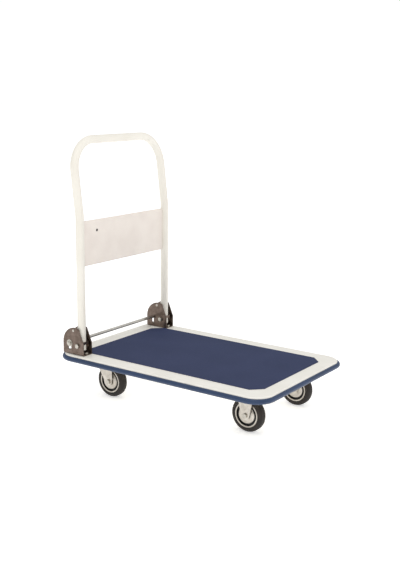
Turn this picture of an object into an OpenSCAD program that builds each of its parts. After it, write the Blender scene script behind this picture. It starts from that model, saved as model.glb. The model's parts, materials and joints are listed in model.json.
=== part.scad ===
// Folding platform cart: a pressed steel deck on two rigid and two swivel casters,
// with a tube handle that folds forward on to the deck when the release bar is pressed.
// Frame: +X to the free end, +Y to the left, +Z up, origin on the floor under the deck's centre.

/* [Deck] */
// Length of the steel deck, without the bumper
deck_l = 724; // [640:1:900]
// Width of the steel deck, without the bumper
deck_w = 464; // [420:1:600]
// Corner radius of the deck
deck_r = 52; // [40:1:80]
// Sheet thickness of the deck
deck_t = 1.5; // [1:0.1:2.5]
// Radius of the rolled top edge
roll_r = 5; // [3:0.5:8]
// Depth of the deck's turned-down skirt
skirt_h = 18; // [16:0.5:24]

/* [Mat] */
// Thickness of the non-slip mat
mat_t = 1.6; // [1:0.1:3]
// White border left along each side
mat_side = 49.5; // [40:0.5:80]
// White border at the free end
mat_front = 42; // [30:1:80]
// White border at the handle end
mat_rear = 56; // [50:1:90]
// Cut-off corners of the mat
mat_cut = 30; // [30:1:50]

/* [Bumper] */
// How far the bumper stands out from the skirt
bumper_t = 8; // [6:0.5:12]
// Height of the bumper
bumper_h = 15; // [12:0.5:20]

/* [Under-frame] */
// Depth of the cross channels under the deck
channel_h = 12.5; // [11:0.5:20]
// Width of the cross channels
channel_w = 100; // [96:1:130]
// Sheet thickness of the channels
channel_t = 2; // [1.5:0.1:3]
// Width of each lengthwise rib
rib_w = 40; // [24:1:60]
// Distance of each lengthwise rib from the centre line
rib_y = 85; // [40:1:120]

/* [Casters] */
// Wheel diameter
wheel_d = 100; // [90:1:125]
// Tyre width
tyre_w = 28; // [22:0.1:34]
// Gap between the tyre and each leg of its fork
leg_gap = 3.5; // [2.5:0.5:6]
// Room between the wheel's top and the top of its caster plate
caster_room = 24; // [23:0.5:40]
// Front axle behind the deck's front edge
front_inset = 102; // [90:1:140]
// Rear axle ahead of the deck's rear edge
rear_inset = 132; // [122:1:170]
// Middle of each wheel in from the deck's side
wheel_inset = 98; // [84:1:120]
// Swivel trail: kingpin to axle
trail = 25; // [20:1:35]
// Sheet thickness of forks and plates
fork_t = 2.5; // [2:0.1:4]
// Radius of the fork's rounded lower end
fork_end_r = 13.5; // [12:0.5:16]
// Top plate length
plate_l = 90; // [86:1:100]
// Top plate width
plate_w = 66; // [64:1:80]
// Axle bolt diameter
axle_d = 8; // [8:1:10]
// Kingpin diameter
kingpin_d = 10; // [8:1:12]
// Radius of the ball circle
ball_circle_r = 23; // [20:0.5:24]
// Ball diameter
ball_d = 6; // [5:0.5:7]
// Number of balls in a ring
ball_count = 14; // [8:1:16]

/* [Handle] */
// Tube diameter
tube_d = 25; // [22:0.5:32]
// Tube wall
tube_t = 1.5; // [1:0.1:2.5]
// Centre of each upright in from the deck's side
tube_inset = 29; // [28:0.5:50]
// Height of the top bar's centre above the floor
bar_z = 772.5; // [700:1:1000]
// Height where the uprights start to lean back
bend_z = 548; // [500:1:600]
// Backward lean of the upper part
lean = 7; // [0:0.5:12]
// Bend radius at the start of the lean
bend_r = 110; // [60:1:200]
// Corner radius of the top loop
loop_r = 90; // [60:1:120]
// Tube length below the pivot
tube_foot = 15; // [12:0.5:17]
// Lower edge of the panel above the floor
panel_z = 403; // [360:1:440]
// Height of the panel
panel_h = 134; // [80:1:150]
// Sheet thickness of the panel
panel_t = 1.2; // [1:0.1:2]
// Depth of the panel's folded edges
panel_lip = 10; // [6:0.5:12]

/* [Hinge brackets] */
// Sheet thickness of the brackets
ear_t = 2.5; // [2:0.1:3.5]
// Play between the handle's lug and each ear
ear_play = 1.75; // [1:0.25:4]
// Length of a bracket
ear_l = 81; // [80:1:90]
// Height of the pivot above the deck
pivot_h = 29; // [28:0.5:34]
// Pivot to the bracket's front edge
pivot_front = 23; // [22:0.5:25]
// Deck's rear edge to the bracket's rear edge
ear_inset = 14; // [10:0.5:20]
// Height of the ears' top above the pivot
ear_top = 54.5; // [52:0.5:64]
// Height of the knee in the ears' front edge above the pivot
knee_h = 8; // [6:0.5:12]
// Pivot bolt diameter
pivot_d = 8; // [8:1:10]
// Outer diameter of the pivot sleeve
sleeve_d = 14; // [12:0.5:16]
// Diameter of the stop pin behind each upright
stop_d = 6; // [5:0.5:8]
// Height of the stop pin above the pivot
stop_h = 45.5; // [44:0.5:48]

/* [Release bar] */
// Bar diameter
rod_d = 10; // [8:0.5:12]
// Distance of the bar behind the pivot
rod_back = 31; // [30:0.5:36]
// Height of the bar above the pivot
rod_up = 5; // [3:0.5:7]
// Downward travel of the bar
rod_stroke = 16; // [10:0.5:16]
// Diameter of the washers outside the brackets
rod_washer_d = 22; // [18:0.5:24]
// Wire diameter of the return springs
wire_d = 1.2; // [0.8:0.1:1.4]

/* [Fits] */
// Radial clearance of a turning or sliding fit
run = 0.075; // [0.02:0.005:0.1]
// Radial clearance of a fixed pin or bolt in its hole
snug = 0.05; // [0.02:0.01:0.1]
// Gap left at a seat
seat = 0.3; // [0.2:0.05:0.4]

/* [Hidden] */
$fn = 64;
left = 1;
right = -1;
front_wheels = 1;
rear_wheels = -1;

// Places of the wheels
front_x = deck_l / 2 - front_inset;
rear_x = deck_l / 2 - rear_inset;
wheel_y = deck_w / 2 - wheel_inset;

// Heights
caster_h = wheel_d + caster_room;
deck_z = caster_h + channel_h + deck_t;      // top of the deck
under_z = deck_z - deck_t;                   // underside of the deck sheet
plate_z = caster_h - fork_t;                 // underside of the caster plates
axle_z = wheel_d / 2;

// Lug on the handle's foot
lug_t = 2.5;
lug_w = tube_d + 2 * lug_t;
lug_web = [3, 11];                           // heights of the front web above the pivot
lug_seat = 0.1;                              // between the tube and the web or keeper
keeper_back = 33;                            // rear edge of the keeper behind the pivot
keeper_h = 24;                               // keeper's underside above the pivot
latch_pin_d = 8;
latch_back = 25;                             // latch pin behind the pivot
block_w = 22;
block_front = 20.6;                          // block's front face behind the pivot
block_rear = 38;
block_h = [-2, 12];                          // block's bottom and top above the pivot

// Hinge and release bar
tube_y = deck_w / 2 - tube_inset;
ear_gap = lug_w + 2 * ear_play;
pivot_z = deck_z + pivot_h;
ear_x0 = -deck_l / 2 + ear_inset;            // rear edge of the ears
pivot_x = ear_x0 + ear_l - pivot_front;
pivot_rear = ear_l - pivot_front;            // pivot to the ears' rear edge
bracket_w = ear_gap + 2 * ear_t;
rod_x = pivot_x - rod_back;
rod_z = pivot_z + rod_up;
rod_half = tube_y + bracket_w / 2 + 5;       // half the bar's length
stop_x = pivot_x - tube_d / 2 - stop_d / 2 - seat;
mat_gap = 1;                                 // least gap between the mat and a bracket
bolt_front_x = pivot_x + 14;
bolt_rear_x = rod_x - 19;

// Band that joins each upright's bend to its leaning stretch
band_t = 0.05;
band_h = 2;

// Hexagon fasteners, M8: across corners, head height, nut height
hex_d = 15;
head_h = 5.3;
nut_h = 6.5;
m8 = 8;

// Casters
fork_gap = tyre_w + 2 * leg_gap;
crown_z = wheel_d + 7;                       // underside of the swivel fork's crown
crown_t = 3;
crown_r = 31;
hub_gap = 1.5;                               // between the wheel core's barrel and each leg
cup_r = 28;                                  // outer radius of the upper ball race
bush_d = 15;
hub_d = 51;                                  // zinc-plated hub disc
ring_in = 64;                                // trim ring, inner and outer diameter
ring_out = 72;
core_d = 67;                                 // wheel core, where the tyre sits
plate_hole_x = 37;
plate_hole_y = 26;
nut_z = caster_h + channel_t;                // caster nuts stand on the channel's web

// ---------- helpers ----------

// A cylinder along Y between two places on the Y axis
module along_y(r, y0, y1) {
    translate([0, y0, 0]) rotate([-90, 0, 0]) cylinder(r = r, h = y1 - y0);
}

// A flat outline drawn in X and Z, given a thickness along Y from y0 to y1
module upright(y0, y1) {
    translate([0, y1, 0]) rotate([90, 0, 0]) linear_extrude(y1 - y0) children();
}

// Sweeps an edge outline round the deck: its x is measured outwards from the corner centres
module round_deck() {
    cx = deck_l / 2 - deck_r;
    cy = deck_w / 2 - deck_r;
    for (c = [[1, 1, 0], [-1, 1, 90], [-1, -1, 180], [1, -1, 270]])
        translate([c[0] * cx, c[1] * cy, 0]) rotate(c[2]) rotate_extrude(angle = 90) children();
    for (s = [1, -1]) {
        translate([s * cx, s * cy, 0]) rotate(90 - s * 90) rotate([90, 0, 0])
            linear_extrude(2 * cy) children();
        translate([-s * cx, s * cy, 0]) rotate(s * 90) rotate([90, 0, 0])
            linear_extrude(2 * cx) children();
    }
}

// A hexagon head or nut along Y, growing from y0 towards y1
module hex_y(y0, y1) {
    translate([0, y0, 0]) rotate([y1 > y0 ? -90 : 90, 0, 0]) cylinder(d = hex_d, h = abs(y1 - y0), $fn = 6);
}

// Where a tangent from an outside point touches a circle about the origin; side is 1 or -1
function touch(p, r, side) =
    let (a = atan2(p[1], p[0]) + side * acos(r / norm(p))) r * [cos(a), sin(a)];

// Both sides of the cart
module both_sides() {
    for (s = [left, right]) scale([1, s, 1]) children();
}

// ---------- deck ----------

module deck_pan() {
    color("ivory") difference() {
        union() {
            round_deck() translate([0, deck_z]) {
                translate([0, -deck_t]) square([deck_r - roll_r, deck_t]);
                translate([deck_r - deck_t, -skirt_h]) square([deck_t, skirt_h - roll_r]);
                translate([deck_r - roll_r, -roll_r]) intersection() {
                    difference() {
                        circle(r = roll_r);
                        circle(r = roll_r - deck_t);
                    }
                    square(roll_r);
                }
            }
            translate([-deck_l / 2 + deck_r, -deck_w / 2 + deck_r, under_z])
                cube([deck_l - 2 * deck_r, deck_w - 2 * deck_r, deck_t]);
        }
        both_sides() for (x = [bolt_front_x, bolt_rear_x])
            translate([x, tube_y, under_z - 1]) cylinder(r = m8 / 2 + snug, h = deck_t + 2);
    }
}

module deck_mat() {
    x0 = -deck_l / 2 + mat_rear;
    x1 = deck_l / 2 - mat_front;
    y1 = deck_w / 2 - mat_side;
    // a mat that reaches out past the brackets' inner sides has its rear corners cut to pass them
    bracket = [pivot_x + pivot_front, tube_y - bracket_w / 2 - mat_gap];
    cut = y1 > bracket[1] ? max(mat_cut, bracket[0] - x0 + y1 - bracket[1]) : mat_cut;
    corners = [[x0 + cut, -y1], [x1 - mat_cut, -y1], [x1, -y1 + mat_cut], [x1, y1 - mat_cut],
               [x1 - mat_cut, y1], [x0 + cut, y1], [x0, y1 - cut], [x0, -y1 + cut]];
    color("midnightblue") translate([0, 0, deck_z]) linear_extrude(mat_t) polygon(corners);
}

// D-shaped outer face with a lip that hooks under and behind the skirt
module bumper() {
    r = bumper_h / 2;
    gap = seat / 2;
    lip = 1.5;
    leg = 6;
    low = -skirt_h - gap - lip;
    color("navy") round_deck() translate([0, deck_z]) {
        difference() {
            translate([deck_r + bumper_t - r, low + r]) circle(r = r);
            translate([deck_r + gap - 2 * r, low]) square([2 * r, 2 * r]);
        }
        translate([deck_r - deck_t - gap - lip, low]) square([deck_t + 2 * gap + lip + 0.5, lip]);
        translate([deck_r - deck_t - gap - lip, low]) square([lip, leg]);
    }
}

// ---------- under-frame ----------

// An upward-open channel, length along Y, standing against the deck sheet
module channel(x) {
    half = deck_w / 2 - deck_t - 4;
    translate([x - channel_w / 2, -half, caster_h]) difference() {
        cube([channel_w, 2 * half, channel_h]);
        translate([channel_t, -1, channel_t])
            cube([channel_w - 2 * channel_t, 2 * half + 2, channel_h]);
    }
}

// Four caster bolt holes about a plate's centre
module plate_holes(x, r, z0, z1) {
    both_sides() for (i = [-1, 1], j = [-1, 1])
        translate([x + i * plate_hole_x, wheel_y + j * plate_hole_y, z0]) cylinder(r = r, h = z1 - z0);
}

module front_channel() {
    color("gainsboro") difference() {
        channel(front_x);
        plate_holes(front_x, m8 / 2 + snug, caster_h - 1, nut_z + 1);
    }
}

module rear_channel() {
    color("gainsboro") difference() {
        channel(-rear_x - trail);
        plate_holes(-rear_x - trail, m8 / 2 + snug, caster_h - 1, nut_z + 1);
        both_sides() translate([-rear_x - trail, wheel_y, caster_h - 1])
            cylinder(r = kingpin_d / 2 + 1, h = channel_t + 2);
    }
}

module deck_ribs() {
    x0 = -rear_x - trail + channel_w / 2 + seat;
    x1 = front_x - channel_w / 2 - seat;
    h = channel_h - channel_t;
    color("gainsboro") both_sides() translate([x0, rib_y - rib_w / 2, under_z - h]) difference() {
        cube([x1 - x0, rib_w, h]);
        translate([-1, channel_t, channel_t]) cube([x1 - x0 + 2, rib_w - 2 * channel_t, h]);
    }
}

// ---------- hinge brackets ----------

// Side view of an ear with the pivot at the origin: a big dome behind, a sloped front edge
module ear_outline() {
    dome_r = ear_top - 7;
    dome = [dome_r - pivot_rear, ear_top - dome_r];
    nose_r = 9;
    knee = [pivot_front, knee_h];
    slope = [-0.39, 0.92];                   // direction of the front edge above the knee
    d = slope / norm(slope);
    n = [-d[1], d[0]];
    // centre of the nose circle: nose_r inside the slope and tangent inside the dome
    p = knee + nose_r * n - dome;
    b = p * d;
    t = -b + sqrt(b * b - p * p + (dome_r - nose_r) ^ 2);
    nose = knee + nose_r * n + t * d;
    far = 3 * dome_r * (nose - dome) / norm(nose - dome);
    polygon([[-pivot_rear, -pivot_h], [pivot_front, -pivot_h], knee, knee + t * d, nose, dome + [0, 10],
             [-pivot_rear, dome[1]]]);
    // a hair proud, so that it crosses the slope and the dome instead of only touching them
    translate(nose) circle(r = nose_r + 0.02);
    intersection() {
        translate(dome) circle(r = dome_r);
        polygon([dome, dome + far, [-3 * dome_r, 3 * dome_r], [-3 * dome_r, dome[1]]]);
    }
}

module hinge_bracket(side) {
    w = bracket_w / 2;
    slot_low = rod_up - rod_stroke;
    slot_r = rod_d / 2 + 0.5;
    color("darkkhaki") scale([1, side, 1]) translate([pivot_x, tube_y, pivot_z]) difference() {
        union() {
            upright(-w, -w + ear_t) ear_outline();
            upright(w - ear_t, w) ear_outline();
            translate([-pivot_rear, -w, -pivot_h]) cube([ear_l, 2 * w, ear_t]);
        }
        along_y(pivot_d / 2 + snug, -w - 1, w + 1);
        translate([stop_x - pivot_x, 0, stop_h]) along_y(stop_d / 2 + snug, -w - 1, w + 1);
        upright(-w - 1, w + 1) {
            translate([-rod_back - slot_r, slot_low]) square([2 * slot_r, rod_stroke]);
            translate([-rod_back, rod_up]) circle(r = slot_r);
            translate([-rod_back, slot_low]) circle(r = slot_r);
        }
        for (x = [bolt_front_x, bolt_rear_x])
            translate([x - pivot_x, 0, -pivot_h - 1]) cylinder(r = m8 / 2 + snug, h = ear_t + 2);
    }
}

// Head up, shank down through the bracket's base and the deck sheet
module bracket_bolts() {
    base = deck_z + ear_t;
    shank = under_z - nut_h - 1;
    color("silver") both_sides() for (x = [bolt_front_x, bolt_rear_x]) translate([x, tube_y, 0]) {
        translate([0, 0, base]) cylinder(d = hex_d, h = head_h, $fn = 6);
        translate([0, 0, shank]) cylinder(d = m8, h = base - shank);
    }
}

module bracket_nuts() {
    color("silver") both_sides() for (x = [bolt_front_x, bolt_rear_x])
        translate([x, tube_y, under_z - nut_h]) difference() {
            cylinder(d = hex_d, h = nut_h, $fn = 6);
            translate([0, 0, -1]) cylinder(r = m8 / 2 + snug, h = nut_h + 2);
        }
}

module pivot_bolts() {
    w = bracket_w / 2;
    color("silver") both_sides() translate([pivot_x, tube_y, pivot_z]) {
        hex_y(w, w + head_h);
        along_y(pivot_d / 2, -w - nut_h - 1, w);
    }
}

module pivot_nuts() {
    w = bracket_w / 2;
    color("silver") both_sides() translate([pivot_x, tube_y, pivot_z]) difference() {
        hex_y(-w, -w - nut_h);
        along_y(pivot_d / 2 + snug, -w - nut_h - 1, -w + 1);
    }
}

// Riveted pin behind each upright: the handle leans back on it
module stop_pins() {
    w = bracket_w / 2;
    rivet = 1.5;
    color("silver") both_sides() translate([stop_x, tube_y, pivot_z + stop_h]) {
        along_y(stop_d / 2, -w, w);
        along_y(stop_d / 2 + 1, w, w + rivet);
        along_y(stop_d / 2 + 1, -w - rivet, -w);
    }
}

// ---------- handle ----------

// Handle as a bent bar of radius r, its feet longer by extra. A thin planished band joins
// each bend to the leaning stretch above it.
module handle_path(r, extra) {
    foot_z = pivot_z - tube_foot - extra;
    bend_x = pivot_x - bend_r * (1 - cos(lean));      // tube centre where the lean is complete
    bend_top = bend_z + bend_r * sin(lean);
    lean_l = (bar_z - bend_top) / cos(lean) - loop_r; // straight leaning stretch
    for (s = [left, right]) {
        translate([pivot_x, s * tube_y, foot_z]) cylinder(r = r, h = bend_z - foot_z);
        translate([pivot_x - bend_r, s * tube_y, bend_z]) rotate([90, 0, 0])
            rotate_extrude(angle = lean) translate([bend_r, 0]) circle(r = r);
    }
    translate([bend_x, 0, bend_top]) rotate([0, -lean, 0]) {
        for (s = [left, right]) {
            translate([0, s * tube_y, -band_h / 2]) cylinder(r = r + band_t, h = band_h);
            translate([0, s * tube_y, band_h / 4]) cylinder(r = r, h = lean_l - band_h / 4);
            translate([0, s * (tube_y - loop_r), lean_l]) rotate([90, 0, 90]) rotate(s == left ? 0 : 90)
                rotate_extrude(angle = 90) translate([loop_r, 0]) circle(r = r);
        }
        translate([0, 0, lean_l + loop_r]) along_y(r, -tube_y + loop_r, tube_y - loop_r);
    }
}

module handle_tube() {
    color("ivory") difference() {
        handle_path(tube_d / 2, 0);
        handle_path(tube_d / 2 - tube_t, 1);
        translate([pivot_x, 0, pivot_z])
            along_y(sleeve_d / 2 + snug, -tube_y - tube_d, tube_y + tube_d);
    }
}

// Sheet between the uprights with its top and bottom edges folded back
module handle_panel() {
    half = tube_y - tube_d / 2 - seat / 2;
    color("linen") translate([pivot_x, 0, panel_z]) {
        translate([-panel_t / 2, -half, 0]) cube([panel_t, 2 * half, panel_h]);
        for (z = [0, panel_h - panel_t])
            translate([-panel_lip, -half, z]) cube([panel_lip, 2 * half, panel_t]);
    }
}

// Steel lug welded round the foot of an upright, with the keeper tab for the latch pin
module handle_lug(side) {
    w = lug_w / 2;
    front = tube_d / 2 + lug_seat;
    cheek = [[front + lug_t, lug_web[0]], [front + lug_t, lug_web[1]], [8, lug_web[1] + 3],
             [-12, keeper_h + lug_t], [-keeper_back, keeper_h + lug_t], [-keeper_back, keeper_h],
             [-19, 0], [-13, -13], [10, -13]];
    color("darkkhaki") scale([1, side, 1]) translate([pivot_x, tube_y, pivot_z]) difference() {
        union() {
            upright(-w, -w + lug_t) polygon(cheek);
            upright(w - lug_t, w) polygon(cheek);
            translate([front, -w, lug_web[0]]) cube([lug_t, 2 * w, lug_web[1] - lug_web[0]]);
            translate([-keeper_back, -w, keeper_h]) cube([keeper_back - front, 2 * w, lug_t]);
        }
        translate([-latch_back, 0, keeper_h - 1]) cylinder(r = latch_pin_d / 2 + 0.5, h = lug_t + 2);
        along_y(sleeve_d / 2 + snug, -w - 1, w + 1);
        cylinder(r = tube_d / 2 + snug, h = 200, center = true);
    }
}

module pivot_sleeves() {
    half = ear_gap / 2 - seat;
    color("goldenrod") both_sides() translate([pivot_x, tube_y, pivot_z]) difference() {
        along_y(sleeve_d / 2, -half, half);
        along_y(pivot_d / 2 + run, -half - 1, half + 1);
    }
}

// ---------- release bar ----------

module release_rod() {
    color("silver") translate([rod_x, 0, rod_z]) along_y(rod_d / 2, -rod_half, rod_half);
}

module rod_washers() {
    y = tube_y + bracket_w / 2 + seat;
    color("silver") both_sides() translate([rod_x, 0, rod_z]) difference() {
        along_y(rod_washer_d / 2, y, y + 1.8);
        along_y(rod_d / 2 + snug, y - 1, y + 3);
    }
}

// Domed push-on caps on the ends of the bar
module rod_caps() {
    y = tube_y + bracket_w / 2 + seat + 1.8 + snug;
    rim = rod_half - y;
    dome = 9.5;
    color("silver") both_sides() translate([rod_x, y, rod_z]) rotate([-90, 0, 0]) difference() {
        union() {
            cylinder(d = rod_d + 4, h = rim);
            intersection() {
                translate([0, 0, rim + 2 - dome]) sphere(r = dome);
                translate([0, 0, rim]) cylinder(d = rod_d + 4, h = dome);
            }
        }
        translate([0, 0, -1]) cylinder(r = rod_d / 2 + snug, h = rim + 1 + snug);
    }
}

// Block pinned to the bar between a bracket's ears, with the upright latch pin
module latch_block(side) {
    color("gray") scale([1, side, 1]) translate([pivot_x, tube_y, pivot_z]) difference() {
        union() {
            translate([-block_rear, -block_w / 2, block_h[0]])
                cube([block_rear - block_front, block_w, block_h[1] - block_h[0]]);
            translate([-latch_back, 0, block_h[1] - 1])
                cylinder(d = latch_pin_d, h = keeper_h - seat - block_h[1] + 1);
        }
        translate([-rod_back, 0, rod_up]) along_y(rod_d / 2 + snug, -block_w, block_w);
    }
}

// Round wire swept along a helix with closed ends
module coil_spring(r, h, turns, d) {
    sides = 6;
    rings = turns * 20;
    function rise(u) = d / 2 + (h - d) * (u < 0.12 ? u * 0.4 : u > 0.88 ? 1 - (1 - u) * 0.4
                                          : 0.048 + (u - 0.12) * 0.904 / 0.76);
    points = [for (i = [0:rings]) let (u = i / rings, a = 360 * turns * u)
              for (k = [0:sides - 1]) let (b = 360 * k / sides, q = r + d / 2 * cos(b))
              [q * cos(a), q * sin(a), rise(u) + d / 2 * sin(b)]];
    walls = [for (i = [0:rings - 1], k = [0:sides - 1]) let (m = (k + 1) % sides)
             [i * sides + k, i * sides + m, (i + 1) * sides + m, (i + 1) * sides + k]];
    ends = [[for (k = [sides - 1:-1:0]) k], [for (k = [0:sides - 1]) rings * sides + k]];
    polyhedron(points, concat(walls, ends), convexity = 10);
}

module rod_spring(side) {
    bottom = deck_z + ear_t + seat / 2;
    top = pivot_z + block_h[0] - seat / 2;
    color("dimgray") translate([rod_x, side * tube_y, bottom]) coil_spring(5.5, top - bottom, 5, wire_d);
}

// ---------- casters ----------

// Places a front or rear wheel's own parts; end is front_wheels or rear_wheels
module at_axle(end, side) {
    translate([end == front_wheels ? front_x : -rear_x, side * wheel_y, axle_z])
        scale([1, side, 1]) children();
}

// Top plate with its four bolt holes, centred on x = 0
module top_plate() {
    difference() {
        translate([-plate_l / 2, -plate_w / 2, plate_z]) cube([plate_l, plate_w, fork_t]);
        for (i = [-1, 1], j = [-1, 1]) translate([i * plate_hole_x, j * plate_hole_y, plate_z - 1])
            cylinder(r = m8 / 2 + snug, h = fork_t + 2);
    }
}

// Two fork legs from an outline that has the axle at its origin, with a stamped panel on each
module fork_legs() {
    y = fork_gap / 2;
    difference() {
        union() {
            upright(y, y + fork_t) children(0);
            upright(-y - fork_t, -y) children(0);
            upright(y, y + fork_t + 1) children(1);
            upright(-y - fork_t - 1, -y) children(1);
        }
        along_y(axle_d / 2 + snug, -y - fork_t - 2, y + fork_t + 2);
    }
}

module rigid_fork(side) {
    half = 29;
    top = plate_z - axle_z;
    panel = half - 9;
    color("silver") translate([front_x, side * wheel_y, 0]) {
        top_plate();
        translate([0, 0, axle_z]) fork_legs() {
            union() {
                circle(r = fork_end_r);
                polygon([[-half, top], touch([-half, top], fork_end_r, 1), [0, 0],
                         touch([half, top], fork_end_r, -1), [half, top]]);
            }
            polygon([[-panel, top], [-panel + 5, 34], [0, fork_end_r + 2], [panel - 5, 34], [panel, top]]);
        }
    }
}

// Plate with the upper ball race pressed down from it
module swivel_plate(side) {
    race_z = crown_z + crown_t + ball_d + 0.4;
    color("silver") translate([-rear_x - trail, side * wheel_y, 0]) difference() {
        union() {
            top_plate();
            translate([0, 0, race_z]) cylinder(r = cup_r, h = plate_z - race_z);
        }
        translate([0, 0, race_z - 1]) cylinder(r = ball_circle_r - 5, h = plate_z - race_z + 1);
        cylinder(r = kingpin_d / 2 + snug, h = caster_h + 1);
    }
}

// Fork with a round crown, a dust lip outside the balls and legs that reach forward to the axle
module swivel_fork(side) {
    w = fork_gap / 2 + fork_t;
    crown_top = crown_z + crown_t - axle_z;
    color("silver") translate([-rear_x, side * wheel_y, axle_z]) {
        difference() {
            union() {
                translate([-trail, 0, crown_z - axle_z]) {
                    cylinder(r = crown_r, h = crown_t);
                    translate([0, -w, 0]) cube([crown_r, 2 * w, crown_t]);
                    difference() {
                        cylinder(r = crown_r, h = crown_t + 4);
                        cylinder(r = crown_r - 1.5, h = crown_t + 5);
                    }
                }
                translate([-trail - 22, -w, crown_z - axle_z]) cube([22, 2 * w, crown_t]);
                fork_legs() {
                    union() {
                        circle(r = fork_end_r);
                        polygon([[-trail - 22, crown_top], [-trail - 20, crown_top - 10],
                                 touch([-trail - 20, crown_top - 10], fork_end_r, 1), [0, 0],
                                 [fork_end_r, 0], [fork_end_r, crown_top - 14],
                                 [crown_r - trail, crown_top]]);
                    }
                    polygon([[-trail - 8, crown_top - 5], [-trail - 7, crown_top - 14], [-5, fork_end_r + 4],
                             [6, fork_end_r + 8], [6, crown_top - 16], [-2, crown_top - 5]]);
                }
            }
            translate([-trail, 0, crown_z - axle_z - 1]) cylinder(r = kingpin_d / 2 + run, h = crown_t + 6);
        }
    }
}

module kingpins() {
    head = 4.5;
    color("gray") both_sides() translate([-rear_x - trail, wheel_y, crown_z - seat - head]) {
        cylinder(d = kingpin_d + 8, h = head);
        cylinder(d = kingpin_d, h = caster_h - crown_z + seat + head);
    }
}

module ball_rings() {
    color("gray") both_sides() translate([-rear_x - trail, wheel_y, crown_z + crown_t + ball_d / 2 + 0.2])
        for (i = [0:ball_count - 1]) rotate(i * 360 / ball_count)
            translate([ball_circle_r, 0, 0]) sphere(d = ball_d);
}

// Hexagon bolts from below, through plate and channel
module caster_bolts() {
    color("silver") for (x = [front_x, -rear_x - trail]) {
        both_sides() for (i = [-1, 1], j = [-1, 1])
            translate([x + i * plate_hole_x, wheel_y + j * plate_hole_y, plate_z]) {
                translate([0, 0, -head_h]) cylinder(d = hex_d, h = head_h, $fn = 6);
                cylinder(d = m8, h = nut_z + nut_h + 1 - plate_z);
            }
    }
}

module caster_nuts() {
    color("silver") for (x = [front_x, -rear_x - trail]) {
        both_sides() for (i = [-1, 1], j = [-1, 1])
            translate([x + i * plate_hole_x, wheel_y + j * plate_hole_y, nut_z]) difference() {
                cylinder(d = hex_d, h = nut_h, $fn = 6);
                translate([0, 0, -1]) cylinder(r = m8 / 2 + snug, h = nut_h + 2);
            }
    }
}

// Head towards the outside of the cart, nut inside
module axle_bolt(end, side) {
    y = fork_gap / 2 + fork_t;
    color("silver") at_axle(end, side) {
        hex_y(y, y + head_h);
        along_y(axle_d / 2, -y - nut_h - 1, y);
    }
}

module axle_nut(end, side) {
    y = fork_gap / 2 + fork_t;
    color("silver") at_axle(end, side) difference() {
        hex_y(-y, -y - nut_h);
        along_y(axle_d / 2 + snug, -y - nut_h - 1, -y + 1);
    }
}

module front_axle_nuts() {
    axle_nut(front_wheels, left);
    axle_nut(front_wheels, right);
}

// ---------- wheels ----------

// Turns an outline drawn as [radius, y] about the wheel's axle
module turned() {
    rotate([90, 0, 0]) rotate_extrude() children();
}

// Round-shouldered solid rubber tyre
module tyre(end, side) {
    r = wheel_d / 2;
    half = tyre_w / 2;
    shoulder = 10;
    color("black") at_axle(end, side) turned() difference() {
        intersection() {
            union() {
                translate([core_d / 2, -half]) square([r - shoulder - core_d / 2, tyre_w]);
                translate([core_d / 2, -half + shoulder]) square([r - core_d / 2, tyre_w - 2 * shoulder]);
                for (y = [half - shoulder, shoulder - half])
                    translate([r - shoulder, y]) circle(r = shoulder);
            }
            translate([core_d / 2, -half]) square([r, tyre_w]);
        }
        for (y = [half - 2.5, -half - 1])
            translate([core_d / 2 - 1, y]) square([ring_out / 2 - core_d / 2 + 1 + seat, 3.5]);
    }
}

// Black core: bearing barrel, web and the seat of the tyre
module wheel_core(end, side) {
    half = tyre_w / 2;
    barrel = fork_gap / 2 - hub_gap;
    color("dimgray") at_axle(end, side) turned() difference() {
        translate([bush_d / 2 + snug, -barrel]) square([core_d / 2 - snug - bush_d / 2, 2 * barrel]);
        for (s = [1, -1]) {
            translate([hub_d / 2 - 5, s > 0 ? half - 6 : -barrel - 1])
                square([core_d / 2 - hub_d / 2 + 6, barrel - half + 7]);
            translate([12, s > 0 ? half - 4 : -barrel - 1]) square([hub_d / 2, barrel - half + 5]);
        }
    }
}

// Zinc-plated pieces on both faces: a dished hub disc and the trim ring at the tyre's bead
module wheel_trim(end, side) {
    half = tyre_w / 2;
    y0 = half - 4 + snug;
    color("silver") at_axle(end, side) for (s = [0, 1]) mirror([0, s, 0]) turned() scale([1, -1]) {
        polygon([[12 + snug, y0], [hub_d / 2, y0], [hub_d / 2, y0 + 1.5], [hub_d / 2 - 4, y0 + 4],
                 [16, y0 + 5.5], [12 + snug, y0 + 5.5]]);
        difference() {
            translate([ring_in / 2 + 2, half - 2.3]) circle(r = 2);
            translate([ring_in / 2 - 1, half - 6]) square([8, 3.5]);
        }
        translate([ring_in / 2 + 2, half - 2.5]) square([ring_out / 2 - ring_in / 2 - 2, 1.6]);
    }
}

module wheel_bush(end, side) {
    half = fork_gap / 2 - seat;
    color("goldenrod") at_axle(end, side) difference() {
        along_y(bush_d / 2, -half, half);
        along_y(axle_d / 2 + run, -half - 1, half + 1);
    }
}

deck_pan();
deck_mat();
bumper();
front_channel();
rear_channel();
deck_ribs();
hinge_bracket(left);  // hinge_bracket_left
hinge_bracket(right);  // hinge_bracket_right
bracket_bolts();
bracket_nuts();
pivot_bolts();
pivot_nuts();
stop_pins();
handle_tube();
handle_panel();
handle_lug(left);  // handle_lug_left
handle_lug(right);  // handle_lug_right
pivot_sleeves();
release_rod();
rod_washers();
rod_caps();
latch_block(left);  // latch_block_left
latch_block(right);  // latch_block_right
rod_spring(left);  // rod_spring_left
rod_spring(right);  // rod_spring_right
rigid_fork(left);  // rigid_fork_left
rigid_fork(right);  // rigid_fork_right
swivel_plate(left);  // swivel_plate_left
swivel_plate(right);  // swivel_plate_right
swivel_fork(left);  // swivel_fork_left
swivel_fork(right);  // swivel_fork_right
kingpins();
ball_rings();
caster_bolts();
caster_nuts();
axle_bolt(front_wheels, left);  // axle_bolt_front_left
axle_bolt(front_wheels, right);  // axle_bolt_front_right
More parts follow.
